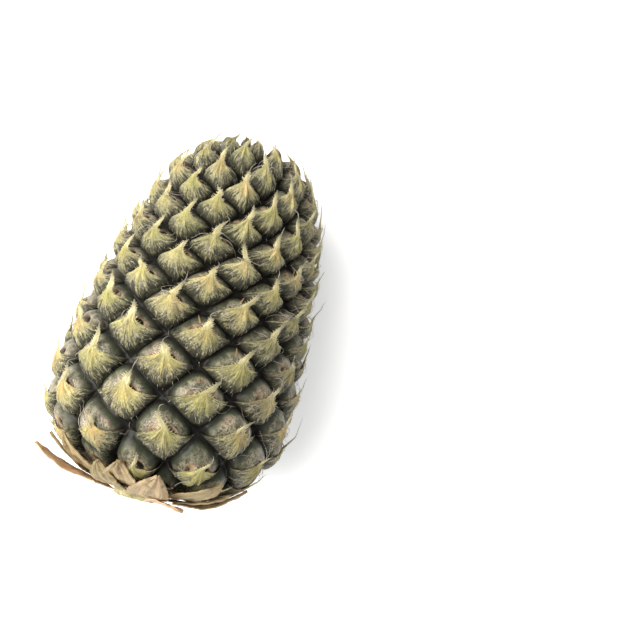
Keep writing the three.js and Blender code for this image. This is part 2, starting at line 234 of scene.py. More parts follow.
def makeFibres(name, path, look, finish, radius=None, marks=None):
    # Closed three-sided tubes about paths of shape (..., steps, 3), a radius and marks at each step.
    steps = path.shape[:-1]
    if radius is None:
        radius = look["radius"] * (1 - look["taper"] * np.linspace(0, 1, steps[-1]))
    radius, *values = (
        np.broadcast_to(value, steps).reshape(-1, steps[-1], 1) for value in (radius, *(marks or {}).values())
    )
    path = path.reshape(*radius.shape[:2], 3)
    ahead = np.gradient(path, axis=1)
    ahead /= np.linalg.norm(ahead, axis=-1, keepdims=True) + 1e-9
    across = np.cross(ahead, path - middle)
    across /= np.linalg.norm(across, axis=-1, keepdims=True) + 1e-9
    over = np.cross(across, ahead)
    corner = np.arange(3)[:, None] * turn / 3
    ring = across[..., None, :] * np.cos(corner) + over[..., None, :] * np.sin(corner)
    points = path[..., None, :] + ring * radius[..., None]
    index = np.arange(radius.size * 3).reshape(*radius.shape[:2], 3)
    walls = quads(np.concatenate([index, index[..., :1]], -1))
    ends = np.concatenate([index[:, 0, ::-1], index[:, -1]])
    makePiece(name, points, [walls, ends], finish, marks=dict(zip(marks or {}, values)))


class Wire:  # one output socket of a node tree; arithmetic on wires adds Math nodes
    def __init__(self, tree, socket=None):
        self.tree, self.socket = tree, socket

    def make(self, kind, settings=None, inputs=None, out=0):
        node = self.tree.nodes.new("ShaderNode" + kind)
        for key, value in (settings or {}).items():
            if key == "stops":
                ramp = node.color_ramp
                ramp.elements.remove(ramp.elements[-1])
                for i, (place, colour) in enumerate(value):
                    stop = ramp.elements[0] if i == 0 else ramp.elements.new(place)
                    stop.position, stop.color = place, (*colour, 1)
            else:
                setattr(node, key, value)
        for key, value in (inputs or {}).items():
            if isinstance(value, Wire):
                self.tree.links.new(value.socket, node.inputs[key])
            else:
                node.inputs[key].default_value = value
        return Wire(self.tree, node.outputs[out])

    def math(self, operation, *values):
        return self.make("Math", {"operation": operation}, dict(enumerate(values)))

    def __add__(self, other):
        return self.math("ADD", self, other)

    def __sub__(self, other):
        return self.math("SUBTRACT", self, other)

    def __rsub__(self, other):
        return self.math("SUBTRACT", other, self)

    def __mul__(self, other):
        return self.math("MULTIPLY", self, other)

    __radd__, __rmul__ = __add__, __mul__

    def ramp(self, low, high):  # 0 below low, 1 above high, an S between them
        settings = {"interpolation_type": "SMOOTHSTEP"}
        return self.make("MapRange", settings, {"Value": self, "From Min": low, "From Max": high})

    def colours(self, *stops):
        return self.make("ValToRGB", {"stops": stops}, {"Fac": self})

    def blend(self, under, over):  # over where this is 1, under where it is 0
        colours = [value if isinstance(value, Wire) else (*value, 1) for value in (under, over)]
        return self.make("Mix", {"data_type": "RGBA"}, {0: self, 6: colours[0], 7: colours[1]}, 2)

    def speckle(self, scale, detail=3, rough=0.6, along=None):  # noise on object coordinates, or on a vector
        along = along or self.make("TexCoord", out=3)
        inputs = {"Vector": along, "Scale": scale, "Detail": detail, "Roughness": rough}
        return self.make("TexNoise", None, inputs)

    def streaks(self, side, sideways, along, lengthwise, seed, detail=3):  # noise drawn out along the grain
        place = self.make("CombineXYZ", None, {0: side * sideways, 1: along * lengthwise, 2: seed})
        return self.speckle(1, detail, 0.6, place)

    def mark(self, name):
        return self.make("Attribute", {"attribute_name": name}, out=2)

    def grain(self):  # the two directions of the piece's own UV map
        across = self.make("SeparateXYZ", None, {0: self.make("UVMap", {"uv_map": "grain"})})
        return across, Wire(self.tree, across.socket.node.outputs[1])


def newFinish(name, roughness, **constants):  # a material's wires, and a call that ends it
    finish = bpy.data.materials.new(name)
    finish.use_nodes = True
    shader = finish.node_tree.nodes["Principled BSDF"]
    shader.inputs["Roughness"].default_value = roughness
    for key, value in constants.items():
        shader.inputs[key.replace("_", " ")].default_value = value
    wires = Wire(finish.node_tree)

    def close(colour, height, distance, strength=1.0, rough=None, coat=None):
        bump = wires.make("Bump", None, {"Height": height, "Distance": distance, "Strength": strength})
        wired = {"Normal": bump, "Base Color": colour, "Roughness": rough, "Coat Weight": coat}
        for name, wire in wired.items():
            if wire:
                wires.tree.links.new(wire.socket, shader.inputs[name])
        return finish

    return wires, close


# The camera looks almost straight down; where the base's middle appears and how the axis runs place it.
viewpoint = {
    "focal": 685.73, "frame": 640, "basePixel": (143.62, 484.91), "baseDepth": 277.1,
    "axisTurn": 0.3175, "axisLean": 0.126, "sensor": 36, "clip": (0.01, 20),
}


def makeCamera():
    focal, half = viewpoint["focal"], viewpoint["frame"] / 2
    turned, lean = viewpoint["axisTurn"], viewpoint["axisLean"]
    sideways, down = ((pixel - half) / focal for pixel in viewpoint["basePixel"])
    base = viewpoint["baseDepth"] * np.array([sideways, down, 1])  # in camera axes: right, down, ahead
    along = np.array([math.sin(turned) * math.cos(lean), -math.cos(turned) * math.cos(lean), math.sin(lean)])
    toward = np.array([0, 0, -1]) + along[2] * along
    toward /= np.linalg.norm(toward)
    fruitAxes = np.stack([np.cross(along, toward), along, toward])  # the fruit's x, y and z in camera axes
    c, s = math.cos(lying["tilt"]), math.sin(lying["tilt"])
    lay = np.array([[1, 0, 0], [0, c, -s], [0, s, c]])
    centre = np.array([*lying["centre"], -lying["lift"]])
    place = (lay @ (-fruitAxes @ base) - centre) / 1000
    axes = lay @ fruitAxes @ np.diag([1, -1, -1])  # the camera's right, up and back
    camera = addObject("camera", bpy.data.cameras.new("camera"))
    camera.data.sensor_width = viewpoint["sensor"]
    camera.data.lens = focal / viewpoint["frame"] * viewpoint["sensor"]
    camera.data.clip_start, camera.data.clip_end = viewpoint["clip"]
    camera.matrix_world = Matrix([[*axes[i], place[i]] for i in range(3)] + [[0, 0, 0, 1]])
    bpy.context.scene.camera = camera
    return axes


cameraAxes = makeCamera()
print("camera looks along", np.round(-cameraAxes[:, 2], 3))

# The eyes: the fruit's own, and barren ones that run on under the basal leaves and up to the crown's scar.
eyes = np.arange(spiral["firstEye"] - spiral["barrenBelow"], spiral["lastEye"] + spiral["barrenAbove"] + 1)


def towardCrown(n):  # 0 on the lower eyes, 1 on the upper ones, which their bracts nearly cover
    return smooth(n, -8, 48)


def flank(n, side):  # 1 on the eyes of one flank (1 the right, -1 the left), 0 on the top and the other flank
    angle = cubic((spiral["phase"], *spiral["wander"]), n / 60) - spiral["step"] * n
    return smooth(side * np.sin(angle) + 0.2 * spread(n, 79), 0.5, 0.95)


def dried(n):  # the bracts of the right flank have shrivelled
    return flank(n, 1)


def lifted(n):  # how far a bract stands up: hardly under the basal leaves and round the scar
    free = smooth((n - spiral["firstEye"]) / bract["coveredEyes"])
    return free * (1 - 0.75 * smooth(n - spiral["lastEye"], -1, 5))


# The rind: one fine skin over all the eyes, closed at both ends.
rind = {
    "cells": 17, "dome": 5.8, "swell": 0.07, "corner": 3.0, "steepness": 7,
    "crowned": (0.5, 0.7), "lowHeavy": 0.1, "topFrom": (0.2, 0.7),
    "seamDepth": 0.5, "seamWidth": 0.06, "seamStart": 0.12, "seamLean": 0.5, "seamUp": (0.2, 0.4),
    "pitDepth": (1.5, 3.1), "pitKept": (0.35, 0.8), "pitAcross": 0.27, "pitUp": (0.1, 0.34),
    "pitHalf": (0.095, 0.145), "pitLean": 0.5, "wobble": 0.3, "wobbleSize": 6, "wobbleReach": 50,
    "baseRings": ((14, 3.6), (12.6, 4.6), (12.6, 7), (5, 7)), "baseMiddle": 7,
    "ringMarks": {"lift": 0.62, "pit": 0, "draw": 0.5, "crown": 0.2, "litFlank": 0},
    "crownRings": ((10.6, 143), (9.6, 141.2), (8, 140.2), (4, 140)), "crownMiddle": 140,
}


def eyePit(n, across, up):  # leaning bell-shaped hollows beside the spine's root, most on its right
    pitUp = mix(*rind["pitUp"], towardCrown(n)) + 0.08 * spread(n, 36)
    left, right = (
        depth * (chance(n, 13 + i) < kept) * mix(0.6, 1, chance(n, 37 + i))
        for i, (depth, kept) in enumerate(zip(rind["pitDepth"], rind["pitKept"]))
    )
    offUp = up - pitUp
    offAcross = np.abs(across) - rind["pitAcross"] + rind["pitLean"] * offUp + 2 * offUp**2
    away = (offAcross / rind["pitHalf"][0]) ** 2 + (offUp / rind["pitHalf"][1]) ** 2
    return np.where(across > 0, right, left) * np.exp(-away)


def domeHeight(n, across, up):  # a pillow with steep sides and a crowned top, less its pits and two seams
    corner = rind["corner"]
    edge = (np.abs(up - across) ** corner + np.abs(up + across) ** corner) ** (1 / corner)
    edge = np.minimum(edge, 1)
    pillow = mix(np.sqrt(1 - edge ** rind["steepness"]), 1 - edge**2, mix(*rind["crowned"], towardCrown(n)))
    height = rind["dome"] * (1 + rind["swell"] * spread(n, 4)) * pillow * (1 - rind["lowHeavy"] * up)
    offSeam = (np.abs(across) - rind["seamStart"] - rind["seamLean"] * up) / rind["seamWidth"]
    seam = rind["seamDepth"] * np.exp(-(offSeam**2)) * smooth(up, *rind["seamUp"])
    return height - (eyePit(n, across, up) + seam) * smooth(pillow, *rind["topFrom"])


def makeRind(finish):
    cells = rind["cells"]
    count = np.arange(cells + 1)
    n, i, j = np.broadcast_arrays(eyes[:, None, None], count[:, None], count)
    across, up = (j - i) / cells, (i + j) / cells - 1
    height = domeHeight(n, across, up)
    points = onEye(n, across, up, height)
    wobble = rind["wobble"] * ripple(points, rind["wobbleSize"], 3) * smooth(height, 0.3, 3)
    points = points + (points - middle) / rind["wobbleReach"] * wobble[..., None]

    # Neighbours share the vertices of their furrow: 13 steps left and 8 back to the right go once round.
    stride = 10_000_000  # more than any of the numbers
    leftKey, rightKey = leftShare * n * cells + i, rightShare * n * cells + j
    turns = leftKey // (rightStep * cells)
    key = (leftKey - turns * rightStep * cells) * stride + rightKey + turns * leftStep * cells
    _, first, shared = np.unique(key, return_index=True, return_inverse=True)
    shared = shared.ravel()
    points = points.reshape(-1, 3)[first]
    marks = {
        "lift": height / rind["dome"], "pit": eyePit(n, across, up) / rind["pitDepth"][1],
        "draw": chance(n, 11), "crown": towardCrown(n), "litFlank": flank(n, -1),
    }
    marks = {mark: values.ravel()[first] for mark, values in marks.items()}
    uv = np.stack([across, up], -1).reshape(-1, 2) / 2 + 0.5
    faces = [quads(np.arange(n.size).reshape(n.shape))]

    # Rings close each open end: its rim is the edges that one face alone uses, in order round the axis.
    skin = shared[faces[0]]
    edges = np.concatenate([skin[:, [k, (k + 1) % 4]] for k in range(4)])
    codes = edges[:, 0] * stride + edges[:, 1]
    openRim = np.unique(edges[~np.isin(codes, edges[:, 1] * stride + edges[:, 0])])
    low = points[openRim, 1] < middle[1]
    for rim, rings, centre in (
        (openRim[low], rind["baseRings"], rind["baseMiddle"]),
        (openRim[~low], rind["crownRings"], rind["crownMiddle"]),
    ):
        angle = np.arctan2(points[rim, 0], points[rim, 2])
        rim, angle = rim[np.argsort(angle)], np.sort(angle)
        circles = [np.stack([r * np.sin(angle), y + 0 * angle, r * np.cos(angle)], -1) for r, y in rings]
        circles.insert(0, mix(points[rim], circles[0], 0.5))
        start, added = len(points), len(circles) * len(rim) + 1
        loops = np.vstack([rim, start + np.arange(added - 1).reshape(len(circles), -1)])
        points = np.vstack([points, *circles, [[0, centre, 0]]])
        walls = quads(np.concatenate([loops, loops[:, :1]], 1))
        cap = np.stack([loops[-1], np.roll(loops[-1], -1), np.full(len(rim), start + added - 1)], -1)
        # A wall runs along its rim the other way to the skin.
        if np.isin(walls[:, 0] * stride + walls[:, 1], codes).any():
            walls, cap = walls[:, ::-1], cap[:, ::-1]
        corner = len(shared)  # the new vertices and this rim get corner numbers of their own
        shared = np.append(shared, np.arange(len(points)))
        faces += [walls + corner, cap + corner]
        uv = np.vstack([uv, np.full((len(points), 2), 0.5)])
        for mark, value in rind["ringMarks"].items():
            marks[mark] = np.append(marks[mark], np.full(added, value))
    makePiece("rind", points, faces, finish, ["fruit"], uv, marks, shared=shared)


# The bracts: each a fan of fibres that starts on a ragged foot and gathers into a spine.
bract = {
    "fanRows": 10, "spineRows": 7, "columns": 15, "gather": 0.6, "barrenBelow": 5,
    "foot": (0.9, 0.95), "footSpread": 0.07, "ragged": 0.07, "sweep": (0.45, 0.35),
    "cornerAcross": 0.95, "cornerUp": (-0.04, 0.06), "narrowing": (1.3, 1.6),
    "rootAcross": 0.1, "rootUp": (0.16, 0.46), "rootHalf": (0.125, 0.095), "rootHeight": 6.5,
    "tipAcross": 0.22, "tipUp": (0.72, 1.04), "tipHeight": 8.5, "tipHalf": 0.014, "flatHeight": 6.1,
    "spineTaper": 0.9, "spineBend": 1.15, "leanSpread": 0.3, "lengthSpread": 0.35, "heightSpread": 1.6,
    "bow": 0.08, "broken": 0.14, "stump": 0.5, "spineRagged": 0.35, "bridge": (0.14, 0.04),
    "shrivel": 0.12, "driedCurl": 0.9,
    "coveredEyes": 7, "coveredLift": 0.2, "lowSpine": 0.55, "lowEyes": (-26, -12),
    "keel": 0.4, "ribs": 0.5, "cling": 0.35, "edgeLift": 0.3, "curl": (0.6, 0.2), "rightSag": 1.6,
    "edgeThickness": 0.3, "keelThickness": 0.6, "tipThickness": 0.4,
}


def bractPoint(n, s, w):  # s runs from the foot over the gathering point to the tip, w from edge to edge
    gather = bract["gather"]
    t, q = np.clip(s / gather, 0, 1), np.clip((s - gather) / (1 - gather), 0, 1)
    side, crown, dry, right = np.abs(w), towardCrown(n), dried(n), np.clip(w, 0, 1)
    foot, cornerUp, narrowing, rootUp, rootHalf, sweep, tipUp, curl = (
        mix(*bract[key], crown)
        for key in ("foot", "cornerUp", "narrowing", "rootUp", "rootHalf", "sweep", "tipUp", "curl")
    )
    tipAcross = bract["tipAcross"] + bract["leanSpread"] * spread(n, 1)
    small = mix(bract["lowSpine"], 1, smooth(n, *bract["lowEyes"]))  # the spines of the lowest eyes are small
    rootHalf = rootHalf * small
    whole = np.where(chance(n, 35) < bract["broken"], bract["stump"], 1) * small
    tipUp = rootUp + (tipUp - rootUp) * (1 + bract["lengthSpread"] * spread(n, 2)) * whole
    lift = mix(bract["coveredLift"], 1, lifted(n))
    rootHeight = mix(bract["flatHeight"], bract["rootHeight"], lift)
    tipHeight = mix(bract["flatHeight"], bract["tipHeight"] + bract["heightSpread"] * spread(n, 3), lift)

    corner = bract["cornerAcross"] * (1 - bract["shrivel"] * dry * chance(n, 68))
    fanHalf = mix(rootHalf, corner, (1 - t) ** narrowing)
    seed = np.round(q * 7) + np.sign(w) * 20 + n * 43
    torn = 1 + bract["spineRagged"] * spread(seed, 69) * smooth(side, 0.5, 1)
    spineHalf = rootHalf * torn * (1 - q) ** bract["spineTaper"] + bract["tipHalf"]
    half = np.where(q > 0, spineHalf, fanHalf)
    across = bract["rootAcross"] * t + (tipAcross - bract["rootAcross"]) * q ** bract["spineBend"] + w * half
    across = across + bract["bow"] * spread(n, 10) * np.sin(math.pi * q)
    ragged = bract["ragged"] * spread(np.round(w * 60) + n * 31, 6) + bract["footSpread"] * spread(n, 8)
    footUp = mix(-foot, cornerUp, side**0.9) + ragged * (1 - side)
    gathering = t ** (1 + sweep * side**1.5 + bract["rightSag"] * right**2)
    up = np.where(q > 0, mix(rootUp, tipUp, q), mix(footUp, rootUp, gathering))

    ribs = np.cos(w * 10 + turn * chance(n, 7)) + 0.7 * np.cos(w * 17 + turn * chance(n, 9))
    bridge = 1 - mix(*bract["bridge"], crown) * side**3  # the wings span the furrow
    edge = bract["edgeLift"] + (curl + bract["driedCurl"] * dry * spread(n, 70)) * t
    body = domeHeight(n, across * bridge, up * bridge) + mix(bract["cling"], edge, side**2)
    body = body + bract["ribs"] * ribs * (1 - side**4) * smooth(t, 0, 0.3)
    spine = mix(rootHeight, tipHeight, q**1.1) + bract["keel"] * (1 - side**2) * (1 - q)
    thickness = mix(bract["edgeThickness"], bract["keelThickness"], smooth(t) * (1 - side**2))
    return across, up, mix(body, spine, smooth(t**1.6)), thickness * mix(1, bract["tipThickness"], q)


def makeBracts(finish):
    gather = bract["gather"]
    spineRows = np.linspace(gather, 1, bract["spineRows"] + 1)[1:]
    s = np.append(np.linspace(0, gather, bract["fanRows"] + 1), spineRows)[:, None]
    w = np.linspace(-1, 1, bract["columns"] + 1)
    n = eyes[eyes >= spiral["firstEye"] - bract["barrenBelow"]][:, None, None]
    across, up, height, thickness = bractPoint(n, s, w)
    points = np.stack([onEye(n, across, up, height - under) for under in (0, thickness)], 1)
    marks = {
        "draw": chance(n, 12), "crown": towardCrown(n),
        "lift": np.clip(height / rind["dome"], 0, 1), "dry": dried(n),
    }
    marks = {mark: values[:, None] for mark, values in marks.items()}
    faces, uv = closedShells(s, w, len(n))
    makePiece("bracts", points, faces, finish, (), uv, marks, 75)


# Fibres that stand out of each bract: strands on its face, a fringe below its foot, a thread on its spine.
strand = {
    "count": 6, "steps": 5, "radius": 0.085, "thinEnds": 0.15, "crownShare": 0.8, "raise": 0.1,
    "wide": 0.85, "jitter": 0.08, "drift": 0.1, "from": (0.02, 0.2), "to": (0.38, 0.66),
}
fringe = {
    "count": 20, "steps": 4, "radius": 0.09, "taper": 0.75, "length": 0.14, "driedLonger": 0.9,
    "wide": 0.92, "jitter": 0.08, "start": 0.24, "outward": 0.7, "splay": 0.3, "raise": 0.35,
}
thread = {
    "steps": 8, "radius": 0.17, "taper": 0.65, "length": 0.38, "driedLonger": 0.5, "kept": 0.7,
    "lean": 0.25, "curl": 0.8, "sunk": 0.25, "climb": 0.5, "droop": 1.2,
}


def each(look, kept, stride):  # the eyes, the fibres on one, a seed for each and the steps along it
    n, k = kept[:, None, None], np.arange(look["count"])[:, None]
    return n, k, n * stride + k, np.linspace(0, 1, look["steps"])


def sideBySide(look, k, seed, kind):  # even places across a bract, each a little off
    return mix(-look["wide"], look["wide"], (k + 0.5) / look["count"]) + look["jitter"] * spread(seed, kind)


def makeStrands(finish):  # each follows the grain of its bract, thickest in the middle
    n, k, seed, along = each(strand, eyes, 41)
    place = sideBySide(strand, k, seed, 14)
    arch = np.sin(along * math.pi)
    s = mix(mix(*strand["from"], chance(seed, 15)), mix(*strand["to"], chance(seed, 16)), along)
    w = np.clip(place + strand["drift"] * spread(seed, 17) * along, -1, 1)
    across, up, height, _ = bractPoint(n, s, w)
    path = onEye(n, across, up, height + strand["raise"] * arch * 2 * chance(seed, 18))
    thick = strand["thinEnds"] + (1 - strand["thinEnds"]) * arch**0.7
    radius = strand["radius"] * thick * mix(1, strand["crownShare"], towardCrown(n))
    marks = {"heart": (1 - np.abs(place)) * smooth(s, 0.1, 0.4), "draw": chance(n, 12)}
    makeFibres("strands", path, strand, finish, radius=radius, marks=marks)


def makeFringe(finish):  # each leaves the foot of its bract and bends down onto the dome
    n, k, seed, along = each(fringe, eyes, 53)
    w = sideBySide(fringe, k, seed, 21)
    across, up, height, _ = bractPoint(n, fringe["start"] * chance(seed, 22) + 0 * along, w)
    reach = fringe["length"] * (0.35 + chance(seed, 23)) * (1 + fringe["driedLonger"] * dried(n)) * along
    across = across + (across * fringe["outward"] + fringe["splay"] * spread(seed, 24)) * reach
    up = up - reach * (1.1 - 0.6 * np.abs(w))
    dome = np.clip(domeHeight(n, across, up), 0, None)
    bend = fringe["raise"] * np.sin(along * math.pi) * (0.3 + chance(seed, 25))
    path = onEye(n, across, up, mix(height - 0.1, dome + 0.2, along) + bend)
    makeFibres("fringe", path, fringe, finish)


def makeThreads(finish):  # each carries its spine on, thinner and curling to one side
    n = eyes[chance(eyes, 34) < thread["kept"]][:, None]
    along = np.linspace(0, 1, thread["steps"])
    across, up, height, _ = bractPoint(n, 1 + 0 * along, 0)
    length = thread["length"] * (0.25 + chance(n, 31)) * (1 + thread["driedLonger"] * dried(n))
    curl = thread["curl"] * spread(n, 32)
    across = across + length * along * (thread["lean"] + curl * along)
    up = up + length * along * (1 - 0.5 * np.abs(curl) * along)
    bend = thread["climb"] * along - thread["droop"] * along**2 * spread(n, 33)
    path = onEye(n, across, up, height - thread["sunk"] + bend * lifted(n))
    makeFibres("spineThreads", path, thread, finish)


# Grey wisps: fine dry fibres that curl about the spines of some eyes.
wisp = {
    "kept": (0.25, 1), "count": 8, "steps": 14, "radius": 0.12, "taper": 0.6, "length": 0.8,
    "from": 0.35, "fromSpread": 0.3, "turns": 3.6, "raise": 2, "lowest": 2.5, "above": 0.4,
}


def makeWisps(finish):  # each winds with a steady turn out of the fan, over the dome and beyond it
    kept = eyes[(chance(eyes, 71) < mix(*wisp["kept"], dried(eyes))) & (eyes > spiral["firstEye"])]
    n, k, seed, along = each(wisp, kept, 29)
    start = wisp["from"] + wisp["fromSpread"] * chance(seed, 72)
    across, up, height, _ = bractPoint(n, start + 0 * along, spread(seed, 73))
    way = turn * chance(seed, 74) + wisp["turns"] * spread(seed, 75) * along
    stride = wisp["length"] * (0.4 + chance(seed, 76)) / wisp["steps"]
    across = across + np.cumsum(np.sin(way) * stride, -1)
    up = up + np.cumsum(np.cos(way) * stride, -1)
    over = np.clip(domeHeight(n, across, up), wisp["lowest"], None) + wisp["above"]
    height = mix(height, over, smooth(along, 0, 0.8))
    height = height + wisp["raise"] * np.sin(along * math.pi) * chance(seed, 77) * lifted(n)
    path = onEye(n, across, up, height)
    makeFibres("wisps", path, wisp, finish)


# Dry fibres in the gap between the stalk and the roots of the basal leaves.
root = {
    "count": 260, "steps": 4, "radius": 0.24, "taper": 0.5, "reach": (12.35, 13.3), "deep": 3.4,
    "high": (0.4, -2.9), "lean": 0.05, "splay": 0.25,
}


def makeRoots(finish):  # each stands on the rind beside the stalk, leaning a little
    n = np.arange(root["count"])[:, None]
    along = np.linspace(0, 1, root["steps"])
    angle = (n + chance(n, 81)) * turn / root["count"] + root["lean"] * spread(n, 82) * along
    reach = mix(*root["reach"], chance(n, 83)) + root["splay"] * spread(n, 84) * along
    lengthwise = mix(root["deep"], mix(*root["high"], chance(n, 85)), along)
    path = np.stack([reach * np.sin(angle), lengthwise, reach * np.cos(angle)], -1)
    makeFibres("rootFibres", path, root, finish)


# Teeth along both margins of each spine and of the fan just below it, leaning towards the tip.
teeth = {
    "count": 18, "steps": 3, "length": 0.07, "radius": 0.15, "taper": 0.85, "from": 0.44, "to": 0.95,
    "inset": 0.9, "raise": 0.25,
}


def makeTeeth(finish):
    n, k, seed, along = each(teeth, eyes, 67)
    side, share = np.where(k % 2, 1, -1), (k // 2 + 0.6 * chance(seed, 41)) / (teeth["count"] / 2)
    s = mix(teeth["from"], teeth["to"], share)
    across, up, height, thickness = bractPoint(n, s + 0 * along, side * teeth["inset"])
    size = teeth["length"] * (0.6 + 0.6 * chance(seed, 42)) * mix(1.2, 0.6, share) * along
    path = onEye(n, across + side * size, up + size * 0.9, height - thickness / 2 + teeth["raise"] * along)
    makeFibres("teeth", path, teeth, finish)


# Dried sepals: a slender tip that stands on many domes, and a lobe that curls up beside the pit.
sepal = {"rows": 6, "thickness": 0.22, "lobeAside": 0.31}
sepalTip = {"columns": 2, "kept": 0.45, "length": 0.25, "half": 0.03, "rise": 1.3}
sepalLobe = {"columns": 6, "kept": 0.3, "length": 0.2, "half": 0.12, "rise": 0.25}


def makeSepals(finish):  # a tip narrows steadily, and a lobe is round at its end
    parts, faces, grains, draws, start = [], [], [], [], 0
    s = np.linspace(0, 1, sepal["rows"] + 1)[:, None]
    for kind, (look, lobe) in enumerate(((sepalTip, 0), (sepalLobe, 1))):
        kept = eyes[(chance(eyes, 50 + kind) < look["kept"]) & (eyes >= spiral["firstEye"])]
        n, w = kept[:, None, None], np.linspace(-1, 1, look["columns"] + 1)
        crown = towardCrown(n)
        aside = mix(0.1 * spread(n, 53), sepal["lobeAside"], lobe)
        foot = mix(0.36 + 0.1 * crown + 0.08 * spread(n, 57), 0.02 + 0.2 * crown, lobe)
        long = look["length"] * (0.7 + 0.6 * chance(n, 54 + kind))
        narrow = mix(1.05 - s**1.5, np.sqrt(1 - 0.97 * (s * 1.02 - 0.35).clip(0) ** 2 / 0.46), lobe)
        across = aside + w * look["half"] * narrow + (1 - lobe) * 0.12 * spread(n, 55) * s
        up = foot + long * s * (1 - 0.25 * lobe * w**2)
        dome = domeHeight(n, across * lobe + aside * (1 - lobe), up * lobe + foot * (1 - lobe))
        rise = look["rise"] * (0.6 + 0.8 * chance(n, 56)) * smooth(s) * lifted(n)
        lowest = mix(0, domeHeight(n, 0.3 + 0 * up, foot + 0 * up) - 0.2, lobe)
        height = np.maximum(dome + mix(-0.3, 0.35, lobe) + rise, lowest)
        points = np.stack([onEye(n, across, up, height - under) for under in (0, sepal["thickness"])], 1)
        draw = mix(0.4 * chance(n, 58), 0.6 + 0.4 * chance(n, 59), lobe)
        parts.append(points.reshape(-1, 3))
        shells, uv = closedShells(s, w, len(kept))
        faces.append(shells + start)
        grains.append(uv.reshape(-1, 2))
        draws.append(np.broadcast_to(draw[:, None], points.shape[:-1]).ravel())
        start += len(parts[-1])
    points, faces, uv = np.vstack(parts), np.vstack(faces), np.vstack(grains)
    makePiece("sepals", points, faces, finish, (), uv, {"draw": np.concatenate(draws)}, 70)


# The stub of the stalk: fluted, its cut face dished and slanting.
stem = {
    "radius": 12, "flutes": 5, "fluteDepth": 0.45, "slant": 0.07, "roughness": 0.14, "tornSize": 2.2,
    "seed": 5, "sides": 120, "ends": (6.7, -4.1),
    "stations": (
        (6.7, 0.5, 0), (6.7, 1, 0), (0, 1, 0), (-1.4, 0.99, 0.5), (-2.7, 0.98, 1), (-3.9, 0.97, 1),
        (-4.35, 0.95, 1), (-4.5, 0.92, 1), (-4.45, 0.8, 1), (-4.35, 0.62, 1), (-4.25, 0.42, 1),
        (-4.15, 0.2, 1),
    ),
}
# The scar where the crown broke off: a torn ring round a groove and a low fibrous core.
scar = {
    "radius": 1, "flutes": 0, "fluteDepth": 0, "slant": 0, "roughness": 0.35, "tornSize": 2.5,
    "seed": 8, "sides": 90, "ends": (139.8, 141.8),
    "stations": (
        (139.8, 4, 0), (140.2, 9.9, 0), (142.2, 10.3, 1), (142.4, 9.3, 1), (141.4, 8.8, 1), (140.9, 8, 1),
        (140.8, 6.5, 1), (141, 5, 1), (141.5, 3.8, 1), (141.9, 2.6, 1), (141.9, 1.3, 1),
    ),
}


def makeTurned(name, look, finish, replaced=()):
    # Rings at stations of (along, share of the radius, how slanting and torn), with a fan at each end.
    along, share, torn = (np.array(column, float)[:, None] for column in zip(*look["stations"]))
    angle = np.arange(look["sides"]) * turn / look["sides"]
    radius = (look["radius"] - look["fluteDepth"] * (1 + np.cos(look["flutes"] * angle))) * share
    x, z = radius * np.sin(angle), radius * np.cos(angle)
    rough = look["roughness"] * ripple(np.stack([x, 0 * x, z], -1), look["tornSize"], look["seed"])
    rings = np.stack([x, along + (look["slant"] * x + rough) * torn, z], -1)
    index = np.arange(x.size).reshape(x.shape)
    points = np.vstack([rings.reshape(-1, 3), [[0, end, 0] for end in look["ends"]]])
    walls = quads(np.concatenate([index, index[:, :1]], 1))
    ahead = np.roll(index, -1, 1)
    caps = [
        np.stack([one, other, np.full(look["sides"], len(points) - back)], -1)
        for one, other, back in ((ahead[0], index[0], 2), (index[-1], ahead[-1], 1))
    ]
    makePiece(name, points, [walls, *caps], finish, replaced)


# The basal leaves: thin serrated blades that clasp the base in three layers, two of them loose.
basal = {
    "count": 21, "inLayer": 8, "firstEye": -34, "rootArc": 13.3, "innerHeight": 0.8, "layerStep": 1.4,
    "thickness": 0.45, "halfAngle": math.radians(15), "angleSpread": math.radians(2), "length": 30,
    "lengthSpread": 5, "taperFrom": 0.42, "taperPower": 1.25, "tipHalf": 0.25, "edgeLift": 0.3, "hug": 1.2,
    "rows": 58, "columns": 16, "tooth": 0.75, "toothPitch": 2.1, "wave": 0.5, "pleats": 0.3, "crinkle": 0.3,
}
looseLeaves = {17: (0.45, 0.4, 20), 19: (0.42, 0.35, 32)}  # bend, twist, length
leafTone = {1: 0.45, 4: 0.3, 6: 0.35, 9: 0.5, 11: 0.3, 14: 0.2, 17: 0.72, 19: 0.95}  # 0 olive, 1 orange-tan


